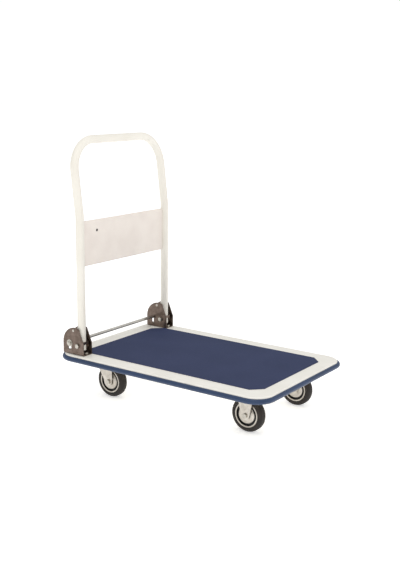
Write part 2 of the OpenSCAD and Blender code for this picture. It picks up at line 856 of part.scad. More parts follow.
axle_bolt(rear_wheels, left);  // axle_bolt_rear_left
axle_bolt(rear_wheels, right);  // axle_bolt_rear_right
front_axle_nuts();
axle_nut(rear_wheels, left);  // rear_axle_nut_left
axle_nut(rear_wheels, right);  // rear_axle_nut_right
tyre(front_wheels, left);  // tyre_front_left
tyre(front_wheels, right);  // tyre_front_right
tyre(rear_wheels, left);  // tyre_rear_left
tyre(rear_wheels, right);  // tyre_rear_right
wheel_core(front_wheels, left);  // wheel_core_front_left
wheel_core(front_wheels, right);  // wheel_core_front_right
wheel_core(rear_wheels, left);  // wheel_core_rear_left
wheel_core(rear_wheels, right);  // wheel_core_rear_right
wheel_trim(front_wheels, left);  // wheel_trim_front_left
wheel_trim(front_wheels, right);  // wheel_trim_front_right
wheel_trim(rear_wheels, left);  // wheel_trim_rear_left
wheel_trim(rear_wheels, right);  // wheel_trim_rear_right
wheel_bush(front_wheels, left);  // wheel_bush_front_left
wheel_bush(front_wheels, right);  // wheel_bush_front_right
wheel_bush(rear_wheels, left);  // wheel_bush_rear_left
wheel_bush(rear_wheels, right);  // wheel_bush_rear_right
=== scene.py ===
# %% [markdown]
# # A folding platform cart
# A pressed steel deck with a rubber-like mat stands on two rigid and two swivel casters. A bent
# tube handle turns in two sheet brackets and folds forward on to the deck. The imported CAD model
# is loaded first: it fixes every size and place, and its bodies carry whatever is made here.

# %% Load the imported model
import json, math
import bmesh, bpy
from mathutils import Matrix, Vector
from mathutils.geometry import tessellate_polygon


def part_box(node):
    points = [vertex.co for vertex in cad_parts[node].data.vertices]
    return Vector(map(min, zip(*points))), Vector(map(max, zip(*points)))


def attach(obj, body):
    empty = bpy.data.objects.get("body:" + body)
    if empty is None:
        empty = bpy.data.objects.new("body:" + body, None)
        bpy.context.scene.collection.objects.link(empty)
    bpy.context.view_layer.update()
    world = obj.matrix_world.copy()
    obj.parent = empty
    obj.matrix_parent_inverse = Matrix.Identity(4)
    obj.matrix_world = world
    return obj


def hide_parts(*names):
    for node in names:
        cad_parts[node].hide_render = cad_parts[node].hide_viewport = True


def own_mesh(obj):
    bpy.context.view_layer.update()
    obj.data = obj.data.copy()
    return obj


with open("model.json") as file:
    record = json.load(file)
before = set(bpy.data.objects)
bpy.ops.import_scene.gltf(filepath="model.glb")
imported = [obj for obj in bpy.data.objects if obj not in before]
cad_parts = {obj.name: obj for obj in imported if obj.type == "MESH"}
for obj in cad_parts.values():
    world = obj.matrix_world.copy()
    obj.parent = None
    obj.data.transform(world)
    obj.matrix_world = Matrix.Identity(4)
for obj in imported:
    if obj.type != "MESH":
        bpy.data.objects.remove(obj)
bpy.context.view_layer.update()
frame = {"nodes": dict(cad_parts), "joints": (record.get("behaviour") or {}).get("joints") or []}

print("nodes:", len(frame["nodes"]))

# %% [markdown]
# ## Places and sizes
# Everything is drawn in millimetres and turned to metres at the very end, since a sheet metal
# shop thinks in millimetres. The main places are read from the CAD nodes' boxes and from the
# joints, so that each piece lands exactly where its CAD node is.

# %% Read the main places
MM = 0.001


def box_mm(node):
    """Lowest and highest corner of a CAD node in millimetres."""
    low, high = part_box(node)
    return low / MM, high / MM


def middle(node):
    low, high = box_mm(node)
    return (low + high) / 2


deck_low, deck_high = box_mm("deck_pan")
deck_z = deck_high.z
pivot = Vector([j for j in frame["joints"] if j["name"] == "handle_fold"][0]["pos_m"]) / MM
bar = middle("release_rod")
upright_y = middle("hinge_bracket_left").y
sides = ("left", "right")
both_sides = (("left", upright_y), ("right", -upright_y))
wheels = {}
for end in ("front", "rear"):
    for side in sides:
        low, high = box_mm(f"tyre_{end}_{side}")
        wheels[f"{end}_{side}"] = (low + high) / 2
wheel_r = (high.z - low.z) / 2
tyre_half = (high.y - low.y) / 2
print("deck", [round(v, 1) for v in deck_high - deck_low], "top at", round(deck_z, 1))
print("pivot", [round(v, 1) for v in pivot], "wheel radius", round(wheel_r, 1))

# %% [markdown]
# ## One way to add a node
# Materials and Geometry Nodes are both built from nodes. One helper makes any node and sets its
# properties, another fills its inputs: with a value, or with another node's output, as a link.
# Colours are given as the usual hex codes, which are display values, so they are turned to the
# linear values that a renderer adds up.


# %% Node and colour helpers
def fill(tree, node, inputs):
    for name, value in inputs.items():
        if isinstance(value, bpy.types.NodeSocket):
            tree.links.new(value, node.inputs[name])
        else:
            node.inputs[name].default_value = value


def add(tree, kind, inputs=None, **settings):
    node = tree.nodes.new(kind)
    for name, value in settings.items():
        setattr(node, name, value)
    fill(tree, node, inputs or {})
    return node


def linear(code):
    """Hex display colour to linear RGBA."""
    parts = [int(code[i:i + 2], 16) / 255 for i in (1, 3, 5)]
    return [c / 12.92 if c <= 0.04045 else ((c + 0.055) / 1.055) ** 2.4 for c in parts] + [1]


def per_mm(size):
    """Scale of a texture node for a pattern of this size in millimetres."""
    return 1 / (size * MM)


# %% [markdown]
# ## The common ground of every finish
# No real surface has one even colour. Each finish here starts from the same ground: two close
# shades that drift into each other over some centimetres, a gloss that varies a little with a
# finer pattern, and a fine relief for the light to break on. What makes a finish special, such
# as spangles or ribs, is added to its tree afterwards.


# %% Finish builder
def finish(name, light, dark, metallic, gloss, patch, grain, depth, relief=0.4):
    """Material with two drifting shades, a roughness range and a fine relief, sizes in mm."""
    material = bpy.data.materials.new(name)
    material.use_nodes = True
    tree = material.node_tree
    shader = tree.nodes["Principled BSDF"]
    where = add(tree, "ShaderNodeTexCoord").outputs["Object"]
    drift = add(tree, "ShaderNodeTexNoise", {"Vector": where, "Scale": per_mm(patch), "Detail": 3.0})
    shade = add(tree, "ShaderNodeMapRange", {"Value": drift.outputs["Fac"],
                                             "From Min": 0.35, "From Max": 0.65})
    mix = add(tree, "ShaderNodeMix", {"Factor": shade.outputs["Result"], "A": linear(light),
                                      "B": linear(dark)}, data_type="RGBA")
    fine = add(tree, "ShaderNodeTexNoise", {"Vector": where, "Scale": per_mm(grain), "Detail": 4.0})
    rough = add(tree, "ShaderNodeMapRange", {"Value": fine.outputs["Fac"], "From Min": 0.3,
                                             "From Max": 0.7, "To Min": gloss[0], "To Max": gloss[1]})
    bump = add(tree, "ShaderNodeBump", {"Height": fine.outputs["Fac"], "Strength": relief,
                                        "Distance": depth * MM})
    fill(tree, shader, {"Metallic": metallic, "Base Color": mix.outputs["Result"],
                        "Roughness": rough.outputs["Result"], "Normal": bump.outputs["Normal"]})
    return material, {"tree": tree, "shader": shader, "where": where, "mix": mix,
                      "bump": bump, "fine": fine}


# %% [markdown]
# ## Paint, mat, bumper and rubber
# The deck and handle are powder coated: a thick warm white film with a slight orange-peel
# relief, which a spray gun and an oven leave. The real relief is about 1 mm across; it is drawn
# at 5 mm so that it shows at all. The mat is calendered PVC with fine ribs along the cart, the
# bumper a satin PVC extrusion, and the tyres black moulded rubber.

# %% Painted steel
deck_paint, _ = finish("powder_coat_deck", "#F5F2EA", "#EFECE3", 0.0, (0.38, 0.48), 90, 5, 0.06)
handle_paint, _ = finish("powder_coat_handle", "#F2EEE4", "#EDE8DD", 0.0, (0.34, 0.44), 90, 5, 0.05)
panel_paint, _ = finish("powder_coat_panel", "#F2E9E0", "#ECE2D9", 0.0, (0.40, 0.50), 60, 5, 0.05)

# %% Calendered PVC mat
mat_pvc, parts = finish("calendered_pvc_mat", "#3A4260", "#373F5C", 0.0, (0.7, 0.8), 120, 3, 0.1)
tree = parts["tree"]
# ribs along X, 5 mm apart, real ones about 3 mm; one wave is 0.314 / scale long
ribs = add(tree, "ShaderNodeTexWave", {"Vector": parts["where"], "Scale": 0.314 * per_mm(5)},
           wave_type="BANDS", bands_direction="Y", wave_profile="SIN")
rib_bump = add(tree, "ShaderNodeBump", {"Height": ribs.outputs["Fac"], "Strength": 0.25,
                                        "Distance": 0.3 * MM, "Normal": parts["bump"].outputs["Normal"]})
fill(tree, parts["shader"], {"Specular IOR Level": 0.12, "Normal": rib_bump.outputs["Normal"]})

# %% Bumper, tyre and wheel core
bumper_pvc, _ = finish("satin_pvc_bumper", "#233B60", "#1F3556", 0.0, (0.38, 0.5), 150, 6, 0.08)
tyre_rubber, _ = finish("moulded_rubber_tyre", "#251C16", "#191410", 0.0, (0.55, 0.75), 25, 2, 0.15)
core_black, _ = finish("moulded_nylon_core", "#191717", "#100F0F", 0.0, (0.5, 0.65), 20, 3, 0.1)

# %% [markdown]
# ## Zinc and steel
# The brackets and casters are electroplated zinc: a metal, but a soft, slightly cloudy one. Its
# crystals show as faint patches, which a Voronoi cell colour draws, and pressing and handling
# leave it a little brown or grey. Drawn bar has fine lines along its length, so its noise is
# stretched along Y.


# %% Plated steel
def spangled(name, light, dark, gloss, cell, strength=0.35):
    """Zinc plate: the common ground with faint crystal patches of cell millimetres."""
    material, parts = finish(name, light, dark, 1.0, gloss, cell * 2.5, cell / 4, 0.05, 0.25)
    tree = parts["tree"]
    crystal = add(tree, "ShaderNodeTexVoronoi", {"Vector": parts["where"], "Scale": per_mm(cell)})
    value = add(tree, "ShaderNodeSeparateColor", {"Color": crystal.outputs["Color"]})
    tone = add(tree, "ShaderNodeMix", {"Factor": value.outputs["Red"], "A": (1, 1, 1, 1),
                                       "B": (*[1 - strength] * 3, 1)}, data_type="RGBA")
    both = add(tree, "ShaderNodeMix", {"Factor": 0.5, "A": parts["mix"].outputs["Result"],
                                       "B": tone.outputs["Result"]}, data_type="RGBA",
               blend_type="MULTIPLY")
    fill(tree, parts["shader"], {"Base Color": both.outputs["Result"]})
    return material, parts


bracket_zinc, _ = spangled("zinc_plated_bracket", "#82736A", "#6F6158", (0.32, 0.48), 6)
caster_zinc, _ = spangled("zinc_plated_caster", "#CFC9C0", "#BEB7AD", (0.28, 0.42), 8, 0.2)
fastener_zinc, _ = spangled("zinc_plated_fastener", "#C9C5BC", "#B3AEA4", (0.25, 0.38), 4, 0.2)
dark_steel, _ = finish("oiled_steel", "#4A4846", "#3A3836", 1.0, (0.35, 0.5), 8, 2, 0.05)
bronze, _ = finish("sintered_bronze", "#A98A52", "#94774A", 1.0, (0.4, 0.55), 6, 1.5, 0.08)
rod_steel, parts = finish("drawn_steel_bar", "#D8D5CE", "#C4C0B8", 1.0, (0.22, 0.36), 30, 4, 0.05)
tree = parts["tree"]
stretch = add(tree, "ShaderNodeMapping", {"Vector": parts["where"], "Scale": (1, 0.04, 1)})
fill(tree, parts["fine"], {"Vector": stretch.outputs["Vector"]})
print("finishes:", len(bpy.data.materials))

# %% [markdown]
# ## From outlines to solids
# Most pieces come from three drawings: an outline with thickness for sheet metal, a profile
# turned about an axis for anything round, and a profile swept round the deck for its edge and
# bumper. Each function here gives plain points and faces, in millimetres.


# %% Turned shapes
def turned(profile, centre, axis="Y", steps=72, flip=1):
    """Closed profile of (radius, place along the axis) turned about the axis through centre."""
    points, faces = [], []
    count = len(profile)
    for i in range(steps):
        a = 2 * math.pi * i / steps
        c, s = math.cos(a), math.sin(a)
        for r, h in profile:
            h *= flip
            local = {"X": (h, r * c, r * s), "Y": (r * s, h, r * c), "Z": (r * c, r * s, h)}[axis]
            points.append(Vector(local) + Vector(centre))
    for i in range(steps):
        j = (i + 1) % steps
        for k in range(count):
            m = (k + 1) % count
            faces.append([i * count + k, i * count + m, j * count + m, j * count + k])
    return points, faces


def rounded(profile, radius, steps=4):
    """The closed profile with each listed corner radius worked in; radius is one number or a list."""
    out = []
    count = len(profile)
    for i, p in enumerate(profile):
        r = radius[i] if isinstance(radius, (list, tuple)) else radius
        here, before, after = Vector(p), Vector(profile[i - 1]), Vector(profile[(i + 1) % count])
        u, v = (before - here), (after - here)
        turn = u.angle(v) if u.length and v.length else math.pi
        cut = min(r / math.tan(turn / 2) if turn > 1e-3 else 0, u.length * 0.49, v.length * 0.49)
        if r <= 0 or cut < 1e-4 or turn > math.pi - 1e-3:
            out.append(tuple(here))
            continue
        u, v = u.normalized(), v.normalized()
        real = cut * math.tan(turn / 2)
        heart = here + (u + v).normalized() * (real / math.sin(turn / 2))
        start, end = here + u * cut - heart, here + v * cut - heart
        sweep = start.angle_signed(end)
        for k in range(steps + 1):
            a = -sweep * k / steps
            out.append((heart.x + start.x * math.cos(a) - start.y * math.sin(a),
                        heart.y + start.x * math.sin(a) + start.y * math.cos(a)))
    return out


# %% Plates with rounded edges
def inset(loop, d):
    """A closed outline moved by d to the side of its material: left of its direction."""
    out = []
    for i, p in enumerate(loop):
        u = (Vector(p) - Vector(loop[i - 1])).normalized()
        v = (Vector(loop[(i + 1) % len(loop)]) - Vector(p)).normalized()
        side = Vector((-u.y - v.y, u.x + v.x)).normalized()
        out.append(Vector(p) + side * (d / max(0.35, side.dot(Vector((-u.y, u.x))))))
    return out


def plate(outline, thickness, holes=(), edge=0.4, rim=None, cuts=(), place=None):
    """Sheet cut to an anticlockwise outline, with rounded edges and clockwise holes.
    rim = (width, ramp, height) lifts everything inside a border. cuts are (point, normal) lines
    in the sheet that give it points to bend at. place turns (u, v, n, lift) into a point."""
    half = thickness / 2
    curve = [math.radians(a) for a in (90, 60, 30, 0)]
    bm = bmesh.new()
    lift = bm.verts.layers.float.new("lift")
    caps = {1: [], -1: []}
    for number, loop in enumerate([outline, *holes]):
        steps = []                               # (inset, height, lift) from the top cap down
        if rim and number == 0:
            steps.append((rim[0] + rim[1], half, rim[2]))
            steps.append((rim[0], half, 0))
        base = rim[2] if rim and number else 0
        steps += [(edge * (1 - math.cos(a)), half - edge * (1 - math.sin(a)), base) for a in curve]
        steps += [(d, -h, up) for d, h, up in reversed(steps)]
        rings = []
        for d, h, up in steps:
            ring = []
            for q in inset(loop, d):
                vert = bm.verts.new((q.x, q.y, h))
                vert[lift] = up
                ring.append(vert)
            rings.append(ring)
        for a, b in zip(rings, rings[1:]):
            for i in range(len(a)):
                j = (i + 1) % len(a)
                bm.faces.new([a[i], b[i], b[j], a[j]])
        caps[1].append(rings[0])
        caps[-1].append(rings[-1])
    for loops in caps.values():
        flat = [v for ring in loops for v in ring]
        for tri in tessellate_polygon([[v.co.xy.to_3d() for v in ring] for ring in loops]):
            if len({flat[i] for i in tri}) == 3:
                bm.faces.new([flat[i] for i in tri])
    for point, normal in cuts:
        bmesh.ops.bisect_plane(bm, geom=bm.verts[:] + bm.edges[:] + bm.faces[:], dist=1e-4,
                               plane_co=(*point, 0), plane_no=(*normal, 0))
    points = [place(v.co.x, v.co.y, v.co.z, v[lift]) for v in bm.verts]
    bm.verts.index_update()
    faces = [[v.index for v in f.verts] for f in bm.faces]
    bm.free()
    return points, faces


# %% [markdown]
# ## Bending a sheet
# The brackets, forks, lugs and the handle's panel are cut flat and folded to a U, as on a press
# brake. The fold keeps the length of the sheet's middle line: flat over the web, then round the
# bend, then straight up the flange. Lines are cut into the mesh along each bend first, so that
# there is something to bend.


# %% Fold a sheet to a U
class Fold:
    """U fold: half is half the web's outer width, inside the inner bend radius."""

    def __init__(self, half, thickness, inside):
        self.t, self.inside = thickness, inside
        self.flat = half - thickness - inside
        self.middle = inside + thickness / 2
        self.arc = self.middle * math.pi / 2

    def reach(self, height):
        """Place on the flat sheet of a point at this height above the web's outer face."""
        return self.flat + self.arc + height - self.t - self.inside

    def lines(self, steps=6):
        """Lines to cut at both bends."""
        at = [self.flat + self.arc * k / steps for k in range(steps + 1)]
        return [((s * a, 0), (1, 0)) for a in at for s in (1, -1)]

    def bend(self, u, n):
        """(across, height) of the point at u on the sheet and n towards the inside."""
        s, side = abs(u), math.copysign(1, u)
        if s <= self.flat:
            return side * s, self.t / 2 + n
        if s <= self.flat + self.arc:
            a = (s - self.flat) / self.middle
            return (side * (self.flat + (self.middle - n) * math.sin(a)),
                    self.t + self.inside - (self.middle - n) * math.cos(a))
        return side * (self.flat + self.middle - n), self.t + self.inside + s - self.flat - self.arc


def smooth(x):
    x = min(1, max(0, x))
    return x * x * (3 - 2 * x)


def pressed(point, corners, ramp):
    """0 outside a convex anticlockwise panel, rising to 1 once ramp inside its border."""
    depth = 1e9
    for i, a in enumerate(corners):
        b = corners[(i + 1) % len(corners)]
        e = Vector(b) - Vector(a)
        depth = min(depth, e.normalized().cross(Vector(point) - Vector(a)))
    return smooth(depth / ramp)


def panel_lines(corners, ramp):
    """Lines to cut along a pressed panel's border and its ramp."""
    out = []
    for i, a in enumerate(corners):
        e = (Vector(corners[(i + 1) % len(corners)]) - Vector(a)).normalized()
        inward = Vector((-e.y, e.x))
        out += [(tuple(Vector(a) + inward * ramp * k), tuple(inward)) for k in (0, 0.25, 0.5, 0.75, 1)]
    return out


def mirrored(side):
    """Closed outline of one side and its mirror image across u = 0."""
    return side + [(-u, v) for u, v in reversed(side)]


def arc(centre, radius, start, end, steps):
    """Points on a circle from one angle to the other, in degrees."""
    return [(centre[0] + radius * math.cos(math.radians(start + (end - start) * k / steps)),
             centre[1] + radius * math.sin(math.radians(start + (end - start) * k / steps)))
            for k in range(steps + 1)]


# %% [markdown]
# ## Making a piece of the model
# A piece gathers its shapes into one mesh with one material, turns the faces outwards, marks
# the real edges as sharp, and goes to metres. It then stands for its CAD nodes and rides on
# their body. A weighted normal keeps the large flat faces flat next to their small radii.


# %% Piece maker
def linked(name, data):
    """New object in the scene."""
    obj = bpy.data.objects.new(name, data)
    bpy.context.scene.collection.objects.link(obj)
    return obj


def piece(name, body, shapes, material, nodes, sharp=38):
    bm = bmesh.new()
    for points, faces in shapes:
        start = len(bm.verts)
        for p in points:
            bm.verts.new(Vector(p) * MM)
        bm.verts.ensure_lookup_table()
        for f in faces:
            if len(set(f)) > 2:
                try:
                    bm.faces.new([bm.verts[start + i] for i in f])
                except ValueError:
                    pass
    bmesh.ops.remove_doubles(bm, verts=bm.verts[:], dist=0.002 * MM)
    bmesh.ops.dissolve_degenerate(bm, edges=bm.edges[:], dist=0.001 * MM)
    bmesh.ops.recalc_face_normals(bm, faces=bm.faces[:])
    for face in bm.faces:
        face.smooth = True
    for edge in bm.edges:
        edge.smooth = len(edge.link_faces) == 2 and edge.calc_face_angle(0) < math.radians(sharp)
    mesh = bpy.data.meshes.new(name)
    bm.to_mesh(mesh)
    bm.free()
    settle(name, body, mesh, material, nodes)


def settle(name, body, mesh, material, nodes):
    """Puts a finished mesh into the scene for its CAD nodes, on its body."""
    obj = linked(name, mesh)
    mesh.materials.clear()
    mesh.materials.append(material)
    even = obj.modifiers.new("even_shading", "WEIGHTED_NORMAL")
    even.keep_sharp = True
    if nodes:
        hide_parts(*nodes)
    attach(obj, body)
    print(f"{name}: {len(mesh.polygons)} faces on {body}")
    return obj


# %% [markdown]
# ## The deck pan
# The pan is one pressed sheet: a flat top, an edge rolled over at 5 mm, and a turned-down skirt.
# Near the edge a shallow line is pressed in, which stiffens the rim. One profile of that whole
# section is swept round the rounded rectangle, and the flat middle closes it.

# %% Sweep a profile round the deck
corner_r = 52
corners = Vector((deck_high.x - corner_r, deck_high.y - corner_r))


def round_deck(profile, open_middle=False, steps=16):
    """Profile of (distance out from the corner centres, height above the deck's top)."""
    points, faces = [], []
    for number, (sx, sy) in enumerate([(1, 1), (-1, 1), (-1, -1), (1, -1)]):
        for k in range(steps + 1):
            a = math.radians(90 * (number + k / steps))
            for out, height in profile:
                points.append((sx * corners.x + out * math.cos(a),
                               sy * corners.y + out * math.sin(a), deck_z + height))
    count, stations = len(profile), 4 * (steps + 1)
    for i in range(stations):
        j = (i + 1) % stations
        for k in range(count - (1 if open_middle else 0)):
            m = (k + 1) % count
            faces.append([i * count + k, j * count + k, j * count + m, i * count + m])
    if open_middle:
        faces.append([i * count for i in range(stations)])
        faces.append([i * count + count - 1 for i in reversed(range(stations))])
    return points, faces


# %% Deck pan
sheet_t, roll, skirt = 1.5, 5, 18
groove = 43.2                                    # 8.8 mm in from the edge
section = [(30, 0), (groove - 1, 0), (groove - 0.5, -0.4), (groove + 0.5, -0.4), (groove + 1, 0)]
section += arc((corner_r - roll, -roll), roll, 90, 0, 6)
section += arc((corner_r - sheet_t / 2, -skirt + sheet_t / 2), sheet_t / 2, 0, -180, 4)
section += arc((corner_r - roll, -roll), roll - sheet_t, 0, 90, 5) + [(30, -sheet_t)]
piece("deck_pan_pressed", "chassis", [round_deck(section, True)], deck_paint,
      ["deck_pan"], sharp=50)

# %% [markdown]
# ## Bumper and mat
# The bumper is an extruded D that hooks under and behind the skirt, bent round the deck in one
# length. The mat is cut from PVC sheet with its corners off, and its edge is a little proud of
# the ribbed field.

# %% Bumper
face, low, lip = corner_r + 0.15, -skirt - 1.65, 1.5
section = [(face, low + 14.9)] + arc((face + 0.35, low + 7.5), 7.5, 88, -88, 18)
section += [(48.85, low), (48.85, low + 6), (50.35, low + 6), (50.35, low + lip), (face, low + lip)]
piece("bumper_extruded", "chassis", [round_deck(section)], bumper_pvc, ["bumper"])

# %% Mat
mat_low, mat_high = box_mm("deck_mat")
cut = 30
x0, x1, y1 = mat_low.x, mat_high.x, mat_high.y
outline = [(x0 + cut, -y1), (x1 - cut, -y1), (x1, cut - y1), (x1, y1 - cut),
           (x1 - cut, y1), (x0 + cut, y1), (x0, y1 - cut), (x0, cut - y1)]
mat_mid = (mat_low.z + mat_high.z) / 2
piece("deck_mat_cut", "chassis",
      [plate(rounded(outline, 4, 3), mat_high.z - mat_low.z, edge=0.5, rim=(3, 1, -0.35),
             place=lambda u, v, n, lift: (u, v, mat_mid + n + (lift if n > 0 else 0)))],
      mat_pvc, ["deck_mat"])

# %% [markdown]
# ## The handle
# The handle is one 25 mm tube. Its uprights stand straight from the pivots, lean back above the
# panel, and join in a wide loop. A path of points follows its centre line, and a Geometry Nodes
# tree sweeps a circle along it: the tree can be used again for the springs. The wall is given
# with Solidify, so that the open feet show a real tube.


# %% Geometry Nodes helpers
def tree_with(name, sockets):
    """Geometry Nodes tree with named inputs. Returns it with its input and output nodes."""
    tree = bpy.data.node_groups.new(name, "GeometryNodeTree")
    tree.interface.new_socket("Geometry", in_out="OUTPUT", socket_type="NodeSocketGeometry")
    for label, kind in sockets.items():
        tree.interface.new_socket(label, in_out="INPUT", socket_type="NodeSocket" + kind)
    return tree, add(tree, "NodeGroupInput"), add(tree, "NodeGroupOutput")


def ended(tree, output, shape, material):
    """Ends a tree in plain geometry with its material."""
    plain = add(tree, "GeometryNodeRealizeInstances", {"Geometry": shape})
    done = add(tree, "GeometryNodeSetMaterial", {"Geometry": plain.outputs[0], "Material": material})
    tree.links.new(done.outputs[0], output.inputs["Geometry"])


def grown(tree, mesh, values):
    """Runs a tree on a mesh and returns the result as a plain mesh."""
    source = linked("source", mesh)
    modifier = source.modifiers.new("grow", "NODES")
    modifier.node_group = tree
    for item in tree.interface.items_tree:
        if item.in_out == "INPUT" and item.name in values:
            modifier[item.identifier] = values[item.name]
    bpy.context.view_layer.update()
    graph = bpy.context.evaluated_depsgraph_get()
    made = bpy.data.meshes.new_from_object(source.evaluated_get(graph), depsgraph=graph)
    source.modifiers.remove(modifier)
    bpy.data.objects.remove(source)
    return made


def polyline(path):
    """Mesh of edges through a list of points in millimetres."""
    mesh = bpy.data.meshes.new("path")
    mesh.from_pydata([Vector(p) * MM for p in path], [(i, i + 1) for i in range(len(path) - 1)], [])
    return mesh


# %% Tree: a round section along a path
sweep, given, result = tree_with("round_section_along_path",
                                 {"Path": "Geometry", "Diameter": "Float", "Sides": "Int",
                                  "Closed ends": "Bool", "Finish": "Material"})
line = add(sweep, "GeometryNodeMeshToCurve", {"Mesh": given.outputs["Path"]})
radius = add(sweep, "ShaderNodeMath", {0: given.outputs["Diameter"], 1: 0.5}, operation="MULTIPLY")
circle = add(sweep, "GeometryNodeCurvePrimitiveCircle", {"Radius": radius.outputs[0],
                                                         "Resolution": given.outputs["Sides"]})
skin = add(sweep, "GeometryNodeCurveToMesh", {"Curve": line.outputs[0],
                                              "Profile Curve": circle.outputs["Curve"],
                                              "Fill Caps": given.outputs["Closed ends"]})
ended(sweep, result, skin.outputs[0], given.outputs["Finish"])


def swept(path, diameter, sides, closed, material):
    """Smooth mesh of a round bar, tube or wire along a path, in millimetres."""
    mesh = grown(sweep, polyline(path), {"Diameter": diameter * MM, "Sides": sides,
                                         "Closed ends": closed, "Finish": material})
    for face in mesh.polygons:
        face.use_smooth = True
    return mesh


# %% The tube's centre line
tube_d, tube_wall, lean = 25, 1.5, math.radians(7)
foot_z, bend_z, bend_r, loop_r = pivot.z - 15, 548, 110, 90
top_z = box_mm("handle_tube")[1].z - tube_d / 2
bend_end = Vector((pivot.x - bend_r * (1 - math.cos(lean)), 0, bend_z + bend_r * math.sin(lean)))
up = Vector((-math.sin(lean), 0, math.cos(lean)))
straight = (top_z - bend_end.z) / math.cos(lean) - loop_r


def upright_path(s):
    """Centre line from one foot to the middle of the top bar."""
    y = s * upright_y
    path = [Vector((pivot.x, y, foot_z + (bend_z - foot_z) * k / 6)) for k in range(6)]
    path += [Vector((pivot.x - bend_r * (1 - math.cos(lean * k / 5)), y,
                     bend_z + bend_r * math.sin(lean * k / 5))) for k in range(6)]
    for k in range(25):
        a = math.radians(90 * k / 24)
        across = y - s * loop_r * (1 - math.cos(a))
        path.append(bend_end + Vector((0, across, 0)) + up * (straight + loop_r * math.sin(a)))
    return path


path = upright_path(1) + list(reversed(upright_path(-1)))
print("tube length mm:", round(sum((b - a).length for a, b in zip(path, path[1:]))))

# %% Handle tube
mesh = swept(path, tube_d, 40, False, handle_paint)
tube = settle("handle_tube_bent", "handle", mesh, handle_paint, ["handle_tube"])
wall = tube.modifiers.new("wall", "SOLIDIFY")
wall.thickness, wall.offset = tube_wall * MM, -1
tube.modifiers.move(1, 0)

# %% [markdown]
# ## The handle's panel
# The sheet between the uprights has its top and bottom edges folded back at a small radius, and
# its field is pressed back a little inside a plain border. Both stiffen it, and both catch the
# light as thin lines. A small rivet sits near one upper corner.

# %% Panel
panel_low, panel_high = box_mm("handle_panel")
panel_t = 1.2
panel_fold = Fold((panel_high.z - panel_low.z) / 2, panel_t, 2.2)
reach = panel_fold.reach(panel_high.x - panel_low.x)
panel_z = (panel_high.z + panel_low.z) / 2


def panel_place(u, v, n, lift):
    across, height = panel_fold.bend(u, n + lift)
    return panel_high.x - height, v, panel_z + across


w = panel_high.y
border = reach - panel_fold.flat + 4
sheet = plate([(-reach, -w), (reach, -w), (reach, w), (-reach, w)], panel_t, edge=0.3,
              rim=(border, 2, 0.7), cuts=panel_fold.lines(), place=panel_place)
rivet = turned([(0, -1), (4, -1), (4, 0.4), (3, 1.1), (0, 1.4)],
               (panel_high.x - 0.7, -w + 62, panel_high.z - 31), "X", 32)
piece("handle_panel_folded", "handle", [sheet], panel_paint, ["handle_panel"])
piece("panel_rivet", "handle", [rivet], dark_steel, ())

# %% [markdown]
# ## Hinge brackets
# Each bracket is cut flat with two domed ears side by side and folded to a U. Both ears have a
# slot for the release bar and a slightly raised field inside their border, as a press tool
# leaves it.

# %% Bracket outline
ear_low, ear_high = box_mm("hinge_bracket_left")
ear_t, dome_room, nose_r, slot_r = 2.5, 7, 9, 5.5
base_h = pivot.z - ear_low.z                     # pivot above the bracket's underside
front_x, rear_x, ear_top = ear_high.x - pivot.x, ear_low.x - pivot.x, ear_high.z - pivot.z


def ear_edge():
    """The ear's outline about the pivot, from the base in front over the dome to the base behind."""
    dome_r = ear_top - dome_room
    dome = Vector((dome_r + rear_x, ear_top - dome_r))
    knee, d = Vector((front_x, 8)), Vector((-0.39, 0.92)).normalized()     # d slants up and back
    n = Vector((-d.y, d.x))
    p = knee + nose_r * n - dome
    b = p.dot(d)
    t = -b + math.sqrt(b * b - p.dot(p) + (dome_r - nose_r) ** 2)
    nose = knee + nose_r * n + t * d
    start = math.degrees(math.atan2(-n.y, -n.x))
    meet = math.degrees(math.atan2(nose.y - dome.y, nose.x - dome.x))
    return ([tuple(knee)] + arc(nose, nose_r, start, meet, 8)
            + arc(dome, dome_r, meet, 180, 24)[1:])


def capsule(low, high, radius, steps=10):
    """Closed loop round a slot between two points, one above the other."""
    return arc(high, radius, 0, 180, steps) + arc(low, radius, 180, 360, steps)


bracket_fold = Fold((ear_high.y - ear_low.y) / 2, ear_t, 1.5)
side = [(bracket_fold.reach(z + base_h), x) for x, z in ear_edge()]
side = [(bracket_fold.flat, front_x)] + side + [(bracket_fold.flat, rear_x)]
bracket_outline = mirrored(side)
bar_x, bar_up, stroke = bar.x - pivot.x, bar.z - pivot.z, 16
slot = capsule((bar_x, bar_up - stroke), (bar_x, bar_up), slot_r)
slots = [[(s * bracket_fold.reach(z + base_h), x) for x, z in slot] for s in (1, -1)]


def oriented(loop, way):
    """The loop turned anticlockwise for way 1 and clockwise for way -1."""
    area = sum(a[0] * b[1] - b[0] * a[1] for a, b in zip(loop, loop[1:] + loop[:1]))
    return loop if area * way > 0 else loop[::-1]


# %% Brackets
def bracket_place(y):
    def place(u, v, n, lift):
        field = smooth((abs(u) - bracket_fold.reach(6)) / 8)
        across, height = bracket_fold.bend(u, n - lift * field)
        return pivot.x + v, y + across, ear_low.z + height
    return place


ear_cuts = bracket_fold.lines() + [((s * bracket_fold.reach(6 + 2 * k), 0), (1, 0))
                                   for k in range(5) for s in (1, -1)]
for side, y in both_sides:
    sheet = plate(oriented(bracket_outline, 1), ear_t, [oriented(h, -1) for h in slots], 0.5,
                  rim=(2.6, 1.2, 0.7), cuts=ear_cuts, place=bracket_place(y))
    piece(f"hinge_bracket_{side}_folded", "chassis", [sheet], bracket_zinc,
          [f"hinge_bracket_{side}"])

# %% [markdown]
# ## Lugs on the handle's feet
# A small U of sheet is welded round the foot of each upright. Its cheeks carry the sleeve of the
# pivot, a web crosses in front, and a tab behind has the hole for the latch pin.

